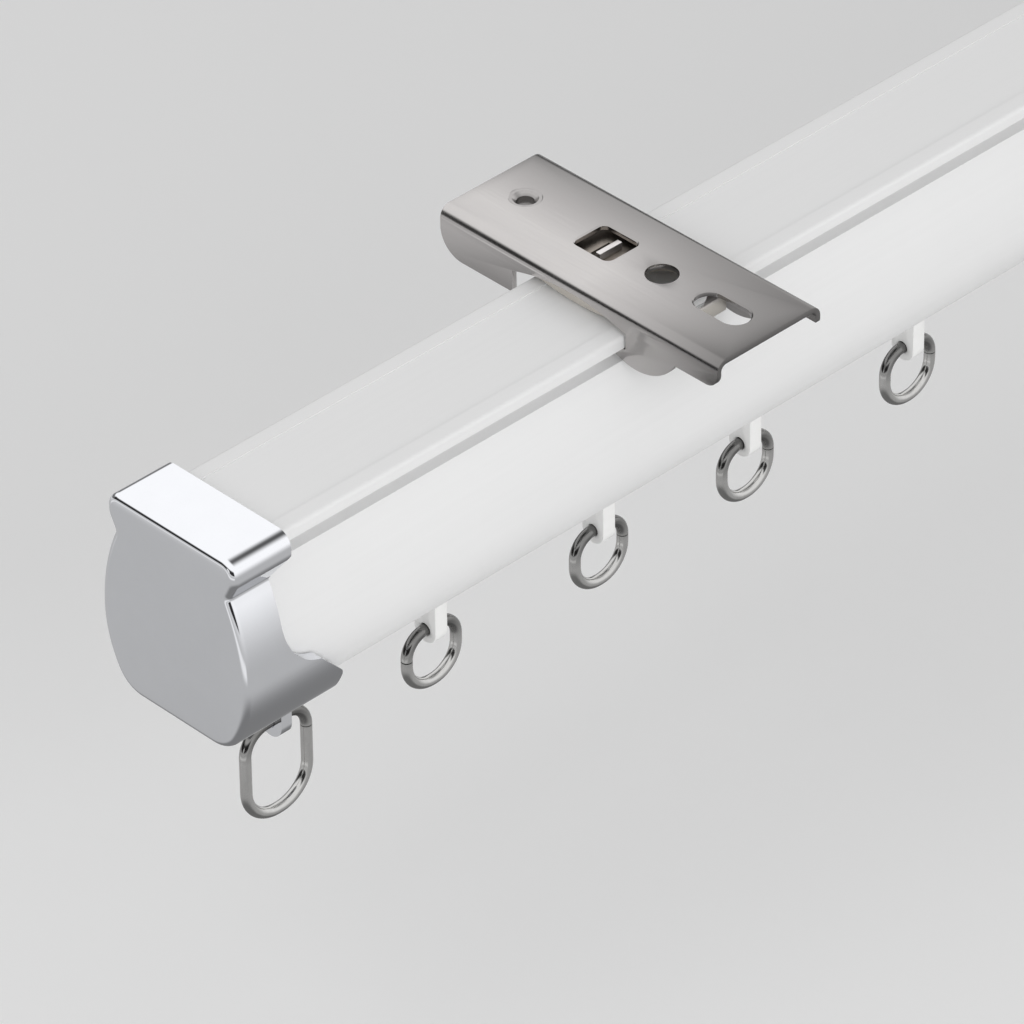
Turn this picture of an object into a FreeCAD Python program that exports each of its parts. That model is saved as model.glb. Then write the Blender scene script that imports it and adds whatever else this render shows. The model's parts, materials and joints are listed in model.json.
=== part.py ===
import FreeCAD
import Part

import math
import os

from FreeCAD import Vector

# A ceiling curtain track, in millimetres.
# X runs along the rail from its middle, Z is up from the ceiling plane at Z = 0,
# and Y = 0 is the line of the bracket screws, so the rail hangs at Y = SCREW_OFFSET.

# Rail section, depths counted down from the top of its head
RAIL_LENGTH = 600.0
HEAD_DROP = 4.0
HEAD_WIDTH = 18.0
HEAD_THICKNESS = 1.8
HEAD_EDGE_RADIUS = 0.6
BAND_WIDTH = 13.0
BAND_DEPTH = 0.2
GROOVE_HEIGHT = 2.4
NECK_WIDTH = 13.2
WAIST_WIDTH = 16.8
BODY_WIDTH = 22.6
BODY_DEPTH = 17.0
RAIL_HEIGHT = 26.4
LOWER_RADIUS = 16.0
CORNER_RADIUS = 3.0
RAIL_WALL = 1.2
SLOT_WIDTH = 5.0

# End caps
CAP_WALL = 1.8
CAP_CLEARANCE = 0.2
CAP_HEAD_WALL = 2.4
CAP_TOP_WALL = 1.3
CAP_TOP_RADIUS = 2.2
CAP_BEAD_RADIUS = 2.4
CAP_HEAD_DEPTH = 9.7
CAP_WAIST_DEPTH = 6.8
CAP_SWEEP_RADIUS = 8.0
CAP_SWEEP_LEVEL = 10.5
CAP_SWEEP_TURN = 75.0
CAP_TOE_DEPTH = 17.4
CAP_TOE_LEVEL = 23.2
CAP_TOE_RADIUS = 2.4
CAP_EDGE_RADIUS = 0.9
CAP_WAIST_RADIUS = 0.8
LUG_INSET = 16.5
LUG_WIDTH = 4.4
LUG_THICKNESS = 1.8

# Eyes and rings
EYE_DROP = 36.9
STEM_WIDTH = 4.0
STEM_THICKNESS = 2.2
WIRE_DIAMETER = 1.6
EYE_CLEARANCE = 0.08
RING_WIDTH = 10.4
RING_HEIGHT = 10.2
RING_SHOULDER = 3.2
CAP_RING_WIDTH = 12.2
CAP_RING_HEIGHT = 16.0
CAP_RING_SHOULDER = 3.6
RING_SEAM = 0.12

# Runners, by distance of each one from the near end of the rail
RUNNER_PLACES = (42.0, 72.5, 100.0, 131.5)
WHEEL_DIAMETER = 9.0
WHEEL_WIDTH = 2.6
WHEEL_LIFT = 0.05
WHEEL_SIDE_PLAY = 0.1
AXLE_DIAMETER = 1.6
AXLE_CLEARANCE = 0.05
AXLE_HEAD_DIAMETER = 2.6
AXLE_HEAD_THICKNESS = 0.4
HUB_DIAMETER = 6.8
HUB_FLARE_ANGLE = 15.0
SPACER_DIAMETER = 3.4
SPACER_LENGTH = 1.1
STEM_TOP_GAP = 0.4

# Brackets, by distance of each one from its end of the rail
BRACKET_INSET = 77.5
BRACKET_LENGTH = 50.2
BRACKET_WIDTH = 18.8
BRACKET_SHIFT = -0.55
BRACKET_SHEET = 0.8
BRACKET_BEND = 0.9
SCREW_OFFSET = 6.6
SCREW_HOLE = 4.5
ADJUST_SLOT_INSET = 8.25
ADJUST_SLOT_LENGTH = 8.7
ADJUST_SLOT_WIDTH = 4.2
WINDOW_CENTRE = 3.5
WINDOW_LENGTH = 6.6
WINDOW_WIDTH = 6.0
WINDOW_RADIUS = 1.0
EYELET_INSET = 6.25
HOLE_ROLL = 0.2

# Bracket flange, depths counted down from the ceiling
TAB_DEPTH = 6.9
TAB_INNER_EDGE = 11.2
TAB_RADIUS = 4.0
ARCH_END_DEPTH = 3.6
ARCH_CROWN_DEPTH = 1.9
HOOK_CLEARANCE = 0.3
HOOK_LIFT = 0.1
HOOK_REACH = 1.7
HOOK_HEIGHT = 1.6
LOBE_DEPTH = 7.6
LOBE_LOW_POINT = 14.0
LOBE_END = 18.2
FLANGE_DEPTH = 4.1
FLANGE_END_RADIUS = 2.0
REAR_FLANGE_DEPTH = 2.6

# Lock slide
SLIDE_SHEET = 0.8
SLIDE_BEND = 0.4
SLIDE_CLEARANCE = 0.15
SLIDE_LEG_WIDTH = 10.0
SLIDE_LEG_GAP = 0.2
SLIDE_FOOT_REACH = 1.6
SLIDE_FLANGE_END = 8.2
SLIDE_WEB_GAP = 0.9
SLIDE_RIM_BOW = 1.0
SLIDE_PRESS_OFFSET = 12.8
SLIDE_PRESS_DEPTH = 4.8
SLIDE_TRAVEL = 2.2
TONGUE_OFFSET = 3.0
TONGUE_WIDTH = 4.0
TONGUE_BELOW_PLATE = 0.5
SCREW_HEAD_ROOM = 8.6

# Return spring and its eyelet
SPRING_SHEET = 0.3
SPRING_BEND = 1.0
SPRING_WIDTH = 6.0
SPRING_TAIL = 3.2
SPRING_DEPTH = 4.6
SPRING_CURL = 1.6
SPRING_TOUCH = 0.05
EYELET_OUTER = 3.2
EYELET_BORE = 2.4
EYELET_FLARE = 4.6
EYELET_FLARE_DEPTH = 0.6
EYELET_SINK = 0.1
EYELET_FLANGE = 4.8
EYELET_FLANGE_THICKNESS = 0.35
EYELET_FLOOR = 0.3

# Levels worked out from the sizes above
HEAD_Z = -HEAD_DROP
HEAD_UNDER_Z = HEAD_Z - HEAD_THICKNESS
SHOULDER_Z = HEAD_UNDER_Z - GROOVE_HEIGHT
LEDGE_Z = HEAD_Z - RAIL_HEIGHT + RAIL_WALL
AXLE_Z = LEDGE_Z + WHEEL_LIFT + WHEEL_DIAMETER / 2
EYE_Z = HEAD_Z - EYE_DROP
WHEEL_INNER_Y = STEM_WIDTH / 2 + SPACER_LENGTH + WHEEL_SIDE_PLAY
AXLE_HALF = WHEEL_INNER_Y + WHEEL_WIDTH + WHEEL_SIDE_PLAY
CAP_END_X = RAIL_LENGTH / 2 + CAP_CLEARANCE + CAP_WALL
BRACKET_X = RAIL_LENGTH / 2 - BRACKET_INSET
PLATE_UNDER_Z = -BRACKET_SHEET
EYELET_OFFSET = BRACKET_LENGTH / 2 + BRACKET_SHIFT - EYELET_INSET
ADJUST_SLOT_OFFSET = BRACKET_LENGTH / 2 - BRACKET_SHIFT - ADJUST_SLOT_INSET
WEB_TOP_Z = PLATE_UNDER_Z - SLIDE_WEB_GAP
LEG_Y = HEAD_WIDTH / 2 + SLIDE_LEG_GAP + SLIDE_SHEET / 2
BEYOND = 5.0


def across(u, v):
    """A point of the rail's cross section."""
    return Vector(0, u, v)


def along(u, v):
    """A point of a side view, with X to the right."""
    return Vector(u, 0, v)


def line(start, end):
    return Part.LineSegment(start, end).toShape()


def arc(start, middle, end):
    return Part.Arc(start, middle, end).toShape()


def face(edges):
    return Part.Face(Part.Wire(Part.__sortEdges__(edges)))


def block(length, width, low, high):
    """A box centred on X and Y between two levels."""
    return Part.makeBox(length, width, high - low, Vector(-length / 2, -width / 2, low))


def oblong(length, width, centre_y, low, high):
    """An upright prism with round ends, long in Y."""
    run = (length - width) / 2
    prism = Part.makeBox(width, 2 * run, high - low, Vector(-width / 2, centre_y - run, low))
    for end_y in (centre_y - run, centre_y + run):
        prism = prism.fuse(Part.makeCylinder(width / 2, high - low, Vector(0, end_y, low)))
    return prism.removeSplitter()


def turned(profile, centre, axis):
    """A solid of revolution from (distance along, radius) points about an axis."""
    side = Vector(0, 0, 1) if abs(axis.z) < 0.5 else Vector(1, 0, 0)
    points = [centre + axis * run + side * radius for run, radius in profile]
    outline = Part.Face(Part.makePolygon(points + points[:1]))
    return outline.revolve(centre, axis, 360)


def bent_side(points, offset, radius, to_space):
    """One side of a bent sheet: its centre line moved sideways, with an arc at each bend."""
    edges = []
    spots = [Vector(u, v, 0) for u, v in points]
    runs = [(b - a).normalize() for a, b in zip(spots, spots[1:])]
    sides = [Vector(-run.y, run.x, 0) for run in runs]
    pen = spots[0] + sides[0] * offset
    for index in range(1, len(runs)):
        before, after = runs[index - 1], runs[index]
        turn = math.atan2(before.x * after.y - before.y * after.x, before.x * after.x + before.y * after.y)
        left = math.copysign(1.0, turn)
        set_back = radius * math.tan(abs(turn) / 2)
        begin = spots[index] - before * set_back
        finish = spots[index] + after * set_back
        centre = begin + sides[index - 1] * (left * radius)
        outwards = (spots[index] - centre).normalize()
        arc_start = begin + sides[index - 1] * offset
        arc_middle = centre + outwards * (radius - left * offset)
        arc_end = finish + sides[index] * offset
        edges.append(line(to_space(pen.x, pen.y), to_space(arc_start.x, arc_start.y)))
        edges.append(arc(*(to_space(p.x, p.y) for p in (arc_start, arc_middle, arc_end))))
        pen = arc_end
    last = spots[-1] + sides[-1] * offset
    edges.append(line(to_space(pen.x, pen.y), to_space(last.x, last.y)))
    return edges


def bent_sheet(points, sheet, inside_radius, to_space):
    """The edge-on face of a sheet folded along a centre line."""
    radius = inside_radius + sheet / 2
    upper = bent_side(points, sheet / 2, radius, to_space)
    lower = bent_side(points, -sheet / 2, radius, to_space)
    start_cap = line(upper[0].Vertexes[0].Point, lower[0].Vertexes[0].Point)
    end_cap = line(upper[-1].Vertexes[-1].Point, lower[-1].Vertexes[-1].Point)
    return face(upper + lower + [start_cap, end_cap])


def body_outline(grow):
    """The round body below the waist, moved outwards by grow: two curved flanks and a flat bottom."""
    waist = WAIST_WIDTH / 2 + grow
    body = BODY_WIDTH / 2 + grow
    level = HEAD_Z - BODY_DEPTH
    bottom = HEAD_Z - RAIL_HEIGHT - grow
    lower = LOWER_RADIUS + grow
    corner = CORNER_RADIUS + grow
    rise = SHOULDER_Z - level
    upper = ((body - waist) ** 2 + rise ** 2) / (2 * (body - waist))
    half_turn = math.asin(rise / upper) / 2
    upper_middle = (body - upper + upper * math.cos(half_turn), level + upper * math.sin(half_turn))
    drop = bottom + corner - level
    corner_y = body - lower + math.sqrt((lower - corner) ** 2 - drop ** 2)
    slope = math.atan2(drop, corner_y - (body - lower))
    lower_middle = (body - lower + lower * math.cos(slope / 2), level + lower * math.sin(slope / 2))
    meet = (body - lower + lower * math.cos(slope), level + lower * math.sin(slope))
    bend = (slope - math.pi / 2) / 2
    corner_middle = (corner_y + corner * math.cos(bend), bottom + corner + corner * math.sin(bend))
    edges = [line(across(corner_y, bottom), across(-corner_y, bottom))]
    for side in (1, -1):
        flank = (waist, SHOULDER_Z), upper_middle, (body, level), lower_middle, meet
        flank += corner_middle, (corner_y, bottom)
        spots = [across(side * y, z) for y, z in flank]
        edges += [arc(*spots[start:start + 3]) for start in (0, 2, 4)]
    return edges


def outline(grow, head_grow, top_grow, edge):
    """The rail's outer outline moved outwards: head, waist and body."""
    head = HEAD_WIDTH / 2 + head_grow
    top = HEAD_Z + top_grow
    waist = WAIST_WIDTH / 2 + grow
    diagonal = edge * (1 - math.sqrt(0.5))
    edges = body_outline(grow)
    edges.append(line(across(head - edge, top), across(edge - head, top)))
    for side in (1, -1):
        start = across(side * (head - edge), top)
        middle = across(side * (head - diagonal), top - diagonal)
        end = across(side * head, top - edge)
        under = across(side * head, HEAD_UNDER_Z)
        edges.append(arc(start, middle, end))
        edges.append(line(end, under))
        edges.append(line(under, across(side * waist, SHOULDER_Z)))
    return face(edges)


def rail():
    """The extruded rail: T head, side grooves, hollow body and bottom slot."""
    through = RAIL_LENGTH + 2 * BEYOND
    floor_z = HEAD_Z - RAIL_HEIGHT
    roof_z = SHOULDER_Z - RAIL_WALL
    body = outline(0, 0, 0, HEAD_EDGE_RADIUS).extrude(Vector(RAIL_LENGTH, 0, 0))
    body.translate(Vector(-RAIL_LENGTH / 2, 0, 0))
    waist = WAIST_WIDTH / 2 - RAIL_WALL
    lid = line(across(waist, SHOULDER_Z), across(-waist, SHOULDER_Z))
    hollow = face(body_outline(-RAIL_WALL) + [lid]).extrude(Vector(through, 0, 0))
    hollow.translate(Vector(-through / 2, 0, 0))
    hollow = hollow.common(block(through, BODY_WIDTH, floor_z, roof_z))
    throat = block(through, NECK_WIDTH - 2 * RAIL_WALL, roof_z, HEAD_UNDER_Z)
    slot = block(through, SLOT_WIDTH, floor_z - BEYOND, LEDGE_Z)
    band = block(through, BAND_WIDTH, HEAD_Z - BAND_DEPTH, HEAD_Z + BEYOND)
    tools = [throat, slot, band]
    for side in (1, -1):
        groove = block(through, BODY_WIDTH, SHOULDER_Z, HEAD_UNDER_Z)
        groove.translate(Vector(0, side * (NECK_WIDTH + BODY_WIDTH) / 2, 0))
        tools.append(groove)
    return body.cut(hollow).cut(tools).removeSplitter()


def eye_bar(width, thickness, top_z):
    """A flat bar down to a round end with an eye across it."""
    bar = block(thickness, width, EYE_Z, top_z)
    start = Vector(-thickness / 2, 0, EYE_Z)
    end = Part.makeCylinder(width / 2, thickness, start, Vector(1, 0, 0))
    hole = Part.makeCylinder(WIRE_DIAMETER / 2 + EYE_CLEARANCE, thickness, start, Vector(1, 0, 0))
    return bar.fuse(end).cut(hole)


def end_cap():
    """An end cap with its outer face at X = 0 and its open side towards +X, lug and all."""
    grow = CAP_CLEARANCE + CAP_WALL
    head_grow = CAP_CLEARANCE + CAP_HEAD_WALL
    top_grow = CAP_CLEARANCE + CAP_TOP_WALL
    shell = outline(grow, head_grow, top_grow, CAP_TOP_RADIUS).extrude(Vector(CAP_TOE_DEPTH, 0, 0))
    waist = WAIST_WIDTH / 2 + grow
    head = HEAD_WIDTH / 2 + head_grow
    rounded = [(waist, SHOULDER_Z, CAP_WAIST_RADIUS), (head, HEAD_UNDER_Z, CAP_BEAD_RADIUS)]
    for corner_y, corner_z, radius in rounded:
        creases = []
        for edge in shell.Edges:
            middle = edge.CenterOfMass
            if abs(abs(middle.y) - corner_y) < 0.01 and abs(middle.z - corner_z) < 0.01:
                creases.append(edge)
        shell = shell.makeFillet(radius, creases)
    front = [edge for edge in shell.Edges if edge.BoundBox.XMax < 0.01]
    shell = shell.makeFillet(CAP_EDGE_RADIUS, front)
    inside = outline(CAP_CLEARANCE, CAP_CLEARANCE, CAP_CLEARANCE, HEAD_EDGE_RADIUS)
    inside = inside.extrude(Vector(CAP_TOE_DEPTH, 0, 0))
    inside.translate(Vector(CAP_WALL, 0, 0))
    lug = eye_bar(LUG_WIDTH, LUG_THICKNESS, HEAD_Z - RAIL_HEIGHT - CAP_CLEARANCE)
    lug.translate(Vector(LUG_INSET, 0, 0))
    return shell.cut([cap_back(), inside]).fuse(lug).removeSplitter()


def cap_back():
    """What is cut from behind the cap: a step under the head and a tight sweep out to a pointed toe."""
    high = HEAD_Z + BEYOND
    low = HEAD_Z - RAIL_HEIGHT - BEYOND
    far = CAP_TOE_DEPTH + BEYOND
    centre_x = CAP_WAIST_DEPTH + CAP_SWEEP_RADIUS
    centre_z = HEAD_Z - CAP_SWEEP_LEVEL
    turn = math.radians(CAP_SWEEP_TURN)
    sweep = []
    for angle in (turn / 2, turn):
        x = centre_x - CAP_SWEEP_RADIUS * math.cos(angle)
        sweep.append(along(x, centre_z - CAP_SWEEP_RADIUS * math.sin(angle)))
    corners = [
        sweep[1],
        along(CAP_TOE_DEPTH, HEAD_Z - CAP_TOE_LEVEL),
        along(CAP_TOE_DEPTH, low),
        along(far, low),
        along(far, high),
        along(CAP_HEAD_DEPTH, high),
        along(CAP_HEAD_DEPTH, HEAD_UNDER_Z),
        along(CAP_WAIST_DEPTH, SHOULDER_Z),
        along(CAP_WAIST_DEPTH, centre_z),
    ]
    edges = [line(start, end) for start, end in zip(corners, corners[1:])]
    edges.append(arc(corners[-1], *sweep))
    cutter = face(edges).extrude(Vector(0, 2 * BODY_WIDTH, 0))
    cutter.translate(Vector(0, -BODY_WIDTH, 0))
    tip = []
    for edge in cutter.Edges:
        middle = edge.CenterOfMass
        if abs(middle.x - corners[1].x) < 0.01 and abs(middle.z - corners[1].z) < 0.01:
            tip.append(edge)
    return cutter.makeFillet(CAP_TOE_RADIUS, tip)


def ring(width, height, shoulder, seam_low):
    """A wire ring hung from its straight top bar, with a butt seam in one leg or near its foot."""
    half = (width - WIRE_DIAMETER) / 2
    bar = half - shoulder
    foot_z = EYE_Z - (height - WIRE_DIAMETER) + half
    leg_z = EYE_Z - shoulder
    diagonal = shoulder * math.sqrt(0.5)
    seam_angle = math.radians(-145.0) if seam_low else 0.0
    shift = RING_SEAM / half

    def on_foot(angle):
        return along(half * math.cos(angle), foot_z + half * math.sin(angle))

    first_angle = seam_angle - shift
    edges = [
        arc(on_foot(first_angle), on_foot((first_angle - math.pi) / 2), on_foot(-math.pi)),
        line(on_foot(-math.pi), along(-half, leg_z)),
        arc(along(-half, leg_z), along(-bar - diagonal, leg_z + diagonal), along(-bar, EYE_Z)),
        line(along(-bar, EYE_Z), along(bar, EYE_Z)),
        arc(along(bar, EYE_Z), along(bar + diagonal, leg_z + diagonal), along(half, leg_z)),
        line(along(half, leg_z), on_foot(0)),
    ]
    if seam_low:
        edges.append(arc(on_foot(0), on_foot(seam_angle / 2), on_foot(seam_angle)))
    path = Part.Wire(edges)
    start = on_foot(first_angle)
    heading = Vector(math.sin(first_angle), 0, -math.cos(first_angle))
    section = Part.Wire(Part.makeCircle(WIRE_DIAMETER / 2, start, heading))
    return path.makePipeShell([section], True, False)


def carriage():
    """A runner's body: hub, flared web, bar and eye moulded as one."""
    hub = HUB_DIAMETER / 2
    flare = math.radians(HUB_FLARE_ANGLE)
    side = along(hub * math.cos(flare), AXLE_Z - hub * math.sin(flare))
    other = along(-side.x, side.z)
    low_z = LEDGE_Z - RAIL_WALL - STEM_TOP_GAP
    edges = [
        line(along(STEM_THICKNESS / 2, low_z), side),
        arc(side, along(0, AXLE_Z + hub), other),
        line(other, along(-STEM_THICKNESS / 2, low_z)),
        line(along(-STEM_THICKNESS / 2, low_z), along(STEM_THICKNESS / 2, low_z)),
    ]
    web = face(edges).extrude(Vector(0, STEM_WIDTH, 0))
    web.translate(Vector(0, -STEM_WIDTH / 2, 0))
    length = STEM_WIDTH + 2 * SPACER_LENGTH
    start = Vector(0, -length / 2, AXLE_Z)
    spacer = Part.makeCylinder(SPACER_DIAMETER / 2, length, start, Vector(0, 1, 0))
    bore = Part.makeCylinder(AXLE_DIAMETER / 2, length, start, Vector(0, 1, 0))
    body = web.fuse([spacer, eye_bar(STEM_WIDTH, STEM_THICKNESS, low_z)])
    return body.cut(bore).removeSplitter()


def axle():
    """A shouldered pin across the runner, headed at both ends to keep the wheels on."""
    shank = AXLE_DIAMETER / 2
    head = AXLE_HEAD_DIAMETER / 2
    tip = AXLE_HALF + AXLE_HEAD_THICKNESS
    profile = [(-tip, 0), (-tip, head), (-AXLE_HALF, head), (-AXLE_HALF, shank)]
    profile += [(-run, radius) for run, radius in reversed(profile)]
    return turned(profile, Vector(0, 0, AXLE_Z), Vector(0, 1, 0))


def wheel(side):
    """A plain wheel on the +Y or -Y side of the runner."""
    rim = WHEEL_DIAMETER / 2
    bore = AXLE_DIAMETER / 2 + AXLE_CLEARANCE
    inner = WHEEL_INNER_Y
    outer = WHEEL_INNER_Y + WHEEL_WIDTH
    profile = [(inner, bore), (inner, rim), (outer, rim), (outer, bore)]
    return turned(profile, Vector(0, 0, AXLE_Z), Vector(0, side, 0))


def flange_contour():
    """The side view of the bracket: tab, arch over the rail, hooked lobe and plain flange."""
    left = BRACKET_LENGTH / 2 + BRACKET_SHIFT
    right = left - BRACKET_LENGTH
    hook_y = -HEAD_WIDTH / 2 - HOOK_CLEARANCE
    hook_top = HEAD_UNDER_Z - HOOK_LIFT
    nose_y = -HEAD_WIDTH / 2 + HOOK_REACH
    nose_radius = HOOK_HEIGHT / 2
    nose_z = hook_top - nose_radius
    tab_diagonal = TAB_RADIUS * (1 - math.sqrt(0.5))
    end_diagonal = FLANGE_END_RADIUS * (1 - math.sqrt(0.5))
    arch_middle = (TAB_INNER_EDGE + hook_y) / 2
    tab_corner = across(left - tab_diagonal, tab_diagonal - TAB_DEPTH)
    end_corner = across(right + end_diagonal, end_diagonal - FLANGE_DEPTH)
    nose_low = across(nose_y - nose_radius, nose_z - nose_radius)
    return face([
        line(across(right, BEYOND), across(left, BEYOND)),
        line(across(left, BEYOND), across(left, TAB_RADIUS - TAB_DEPTH)),
        arc(across(left, TAB_RADIUS - TAB_DEPTH), tab_corner, across(left - TAB_RADIUS, -TAB_DEPTH)),
        line(across(left - TAB_RADIUS, -TAB_DEPTH), across(TAB_INNER_EDGE, -TAB_DEPTH)),
        line(across(TAB_INNER_EDGE, -TAB_DEPTH), across(TAB_INNER_EDGE, -ARCH_END_DEPTH)),
        arc(
            across(TAB_INNER_EDGE, -ARCH_END_DEPTH),
            across(arch_middle, -ARCH_CROWN_DEPTH),
            across(hook_y, -ARCH_END_DEPTH),
        ),
        line(across(hook_y, -ARCH_END_DEPTH), across(hook_y, hook_top)),
        line(across(hook_y, hook_top), across(nose_y - nose_radius, hook_top)),
        arc(across(nose_y - nose_radius, hook_top), across(nose_y, nose_z), nose_low),
        arc(nose_low, across(-LOBE_LOW_POINT, -LOBE_DEPTH), across(-LOBE_END, -FLANGE_DEPTH)),
        line(across(-LOBE_END, -FLANGE_DEPTH), across(right + FLANGE_END_RADIUS, -FLANGE_DEPTH)),
        arc(
            across(right + FLANGE_END_RADIUS, -FLANGE_DEPTH),
            end_corner,
            across(right, FLANGE_END_RADIUS - FLANGE_DEPTH),
        ),
        line(across(right, FLANGE_END_RADIUS - FLANGE_DEPTH), across(right, BEYOND)),
    ])


def bracket_plate():
    """The stamped bracket: a channel of sheet, cut to its contour and pierced."""
    wall = (BRACKET_WIDTH - BRACKET_SHEET) / 2
    mid_z = -BRACKET_SHEET / 2
    low_z = -TAB_DEPTH - BEYOND
    fold = [(-wall, low_z), (-wall, mid_z), (wall, mid_z), (wall, low_z)]
    channel = bent_sheet(fold, BRACKET_SHEET, BRACKET_BEND, along).extrude(Vector(0, 2 * BRACKET_LENGTH, 0))
    channel.translate(Vector(0, -BRACKET_LENGTH, 0))
    contour = flange_contour().extrude(Vector(2 * BRACKET_WIDTH, 0, 0))
    contour.translate(Vector(-BRACKET_WIDTH, 0, 0))
    window = block(WINDOW_WIDTH, WINDOW_LENGTH, -BEYOND, BEYOND)
    uprights = [edge for edge in window.Edges if edge.BoundBox.ZLength > BEYOND]
    window = window.makeFillet(WINDOW_RADIUS, uprights)
    window.translate(Vector(0, WINDOW_CENTRE, 0))
    screw = Part.makeCylinder(SCREW_HOLE / 2, 2 * BEYOND, Vector(0, -SCREW_OFFSET, -BEYOND))
    slot = oblong(ADJUST_SLOT_LENGTH, ADJUST_SLOT_WIDTH, -ADJUST_SLOT_OFFSET, -BEYOND, BEYOND)
    centre = Vector(0, EYELET_OFFSET, 0)
    flare = EYELET_FLARE / 2
    shank = EYELET_OUTER / 2
    sunk = -EYELET_FLARE_DEPTH
    profile = [(-BEYOND, 0), (-BEYOND, shank), (sunk, shank), (0, flare), (BEYOND, flare), (BEYOND, 0)]
    eyelet_seat = turned(profile, centre, Vector(0, 0, 1))
    plate = channel.common(contour).cut([window, slot]).removeSplitter()
    rims = []
    for edge in plate.Edges:
        box = edge.BoundBox
        reach = max(abs(box.XMin), abs(box.XMax))
        if box.ZMin > -0.01 and reach < WINDOW_WIDTH / 2 + 0.01 and box.YLength < WINDOW_LENGTH:
            rims.append(edge)
    end_y = BRACKET_SHIFT - BRACKET_LENGTH / 2 - BEYOND
    rear_z = -REAR_FLANGE_DEPTH - BEYOND
    rear = Part.makeBox(BRACKET_WIDTH, -LOBE_END - end_y, BEYOND, Vector(0, end_y, rear_z))
    return plate.makeChamfer(HOLE_ROLL, rims).cut([screw, eyelet_seat, rear])


def lock_slide():
    """The sliding lock: a shallow channel with a hook foot, a press tab and a lifted tongue."""
    web_z = WEB_TOP_Z - SLIDE_SHEET / 2
    wall = BRACKET_WIDTH / 2 - BRACKET_SHEET - SLIDE_CLEARANCE - SLIDE_SHEET / 2
    rim_z = HEAD_Z + SLIDE_CLEARANCE
    flange_start = HEAD_WIDTH / 2 + SLIDE_LEG_GAP
    fold = [(-wall, rim_z), (-wall, web_z), (wall, web_z), (wall, rim_z)]
    channel = bent_sheet(fold, SLIDE_SHEET, SLIDE_BEND, along)
    channel = channel.extrude(Vector(0, flange_start + SLIDE_FLANGE_END, 0))
    channel.translate(Vector(0, -SLIDE_FLANGE_END, 0))
    bow_z = rim_z + SLIDE_RIM_BOW
    bow_y = (flange_start - SLIDE_FLANGE_END) / 2
    bow = face([
        arc(across(-SLIDE_FLANGE_END, bow_z), across(bow_y, rim_z), across(flange_start, bow_z)),
        line(across(flange_start, bow_z), across(flange_start, BEYOND)),
        line(across(flange_start, BEYOND), across(-SLIDE_FLANGE_END, BEYOND)),
        line(across(-SLIDE_FLANGE_END, BEYOND), across(-SLIDE_FLANGE_END, bow_z)),
    ]).extrude(Vector(BRACKET_WIDTH, 0, 0))
    bow.translate(Vector(-BRACKET_WIDTH / 2, 0, 0))
    channel = channel.common(bow)
    foot_z = HEAD_UNDER_Z - SLIDE_CLEARANCE - SLIDE_SHEET / 2
    foot_y = HEAD_WIDTH / 2 - SLIDE_FOOT_REACH
    hook = [
        (foot_y, foot_z),
        (LEG_Y, foot_z),
        (LEG_Y, web_z),
        (-SLIDE_PRESS_OFFSET, web_z),
        (-SLIDE_PRESS_OFFSET, -SLIDE_PRESS_DEPTH),
    ]
    spine = bent_sheet(hook, SLIDE_SHEET, SLIDE_BEND, across).extrude(Vector(SLIDE_LEG_WIDTH, 0, 0))
    spine.translate(Vector(-SLIDE_LEG_WIDTH / 2, 0, 0))
    tongue_top = -TONGUE_BELOW_PLATE
    tongue_height = tongue_top - web_z
    tongue = block(TONGUE_WIDTH, SLIDE_SHEET, web_z, tongue_top)
    tongue.translate(Vector(0, TONGUE_OFFSET, 0))
    window = block(TONGUE_WIDTH, tongue_height, -BEYOND, web_z + SLIDE_SHEET)
    window.translate(Vector(0, TONGUE_OFFSET + (SLIDE_SHEET + tongue_height) / 2, 0))
    room_y = -SCREW_OFFSET - SLIDE_TRAVEL / 2
    room = oblong(SCREW_HEAD_ROOM + SLIDE_TRAVEL, SCREW_HEAD_ROOM, room_y, -BEYOND, 0)
    return channel.fuse(spine).cut([window, room]).fuse(tongue).removeSplitter()


def return_spring():
    """A leaf riveted under the plate, bowed down to press on the slide's leg."""
    root_z = PLATE_UNDER_Z - SPRING_SHEET / 2
    radius = SPRING_BEND + SPRING_SHEET / 2
    rounding = radius * (math.sqrt(2) - 1)
    nose_y = LEG_Y + SLIDE_SHEET / 2 + SPRING_TOUCH + SPRING_SHEET / 2 - rounding
    reach = root_z + SPRING_DEPTH
    path = [
        (EYELET_OFFSET + SPRING_TAIL, root_z),
        (nose_y + reach, root_z),
        (nose_y, -SPRING_DEPTH),
        (nose_y + SPRING_CURL, -SPRING_DEPTH - SPRING_CURL),
    ]
    leaf = bent_sheet(path, SPRING_SHEET, SPRING_BEND, across).extrude(Vector(SPRING_WIDTH, 0, 0))
    leaf.translate(Vector(-SPRING_WIDTH / 2, 0, 0))
    hole = Part.makeCylinder(EYELET_OUTER / 2, 2 * BEYOND, Vector(0, EYELET_OFFSET, -BEYOND))
    return leaf.cut(hole)


def eyelet():
    """The semi-tubular rivet that holds the spring, flared into the plate."""
    bore = EYELET_BORE / 2
    shank = EYELET_OUTER / 2
    flare = EYELET_FLARE / 2
    sunk = -EYELET_FLARE_DEPTH
    spread = (flare - shank) * (1 - EYELET_SINK / EYELET_FLARE_DEPTH)
    under = PLATE_UNDER_Z - SPRING_SHEET
    low = under - EYELET_FLANGE_THICKNESS
    profile = [
        (-EYELET_SINK, shank + spread),
        (sunk, shank),
        (under, shank),
        (under, EYELET_FLANGE / 2),
        (low, EYELET_FLANGE / 2),
        (low, 0),
        (low + EYELET_FLOOR, 0),
        (low + EYELET_FLOOR, bore),
        (sunk, bore),
        (-EYELET_SINK, bore + spread),
    ]
    return turned(profile, Vector(0, EYELET_OFFSET, 0), Vector(0, 0, 1))


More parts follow.
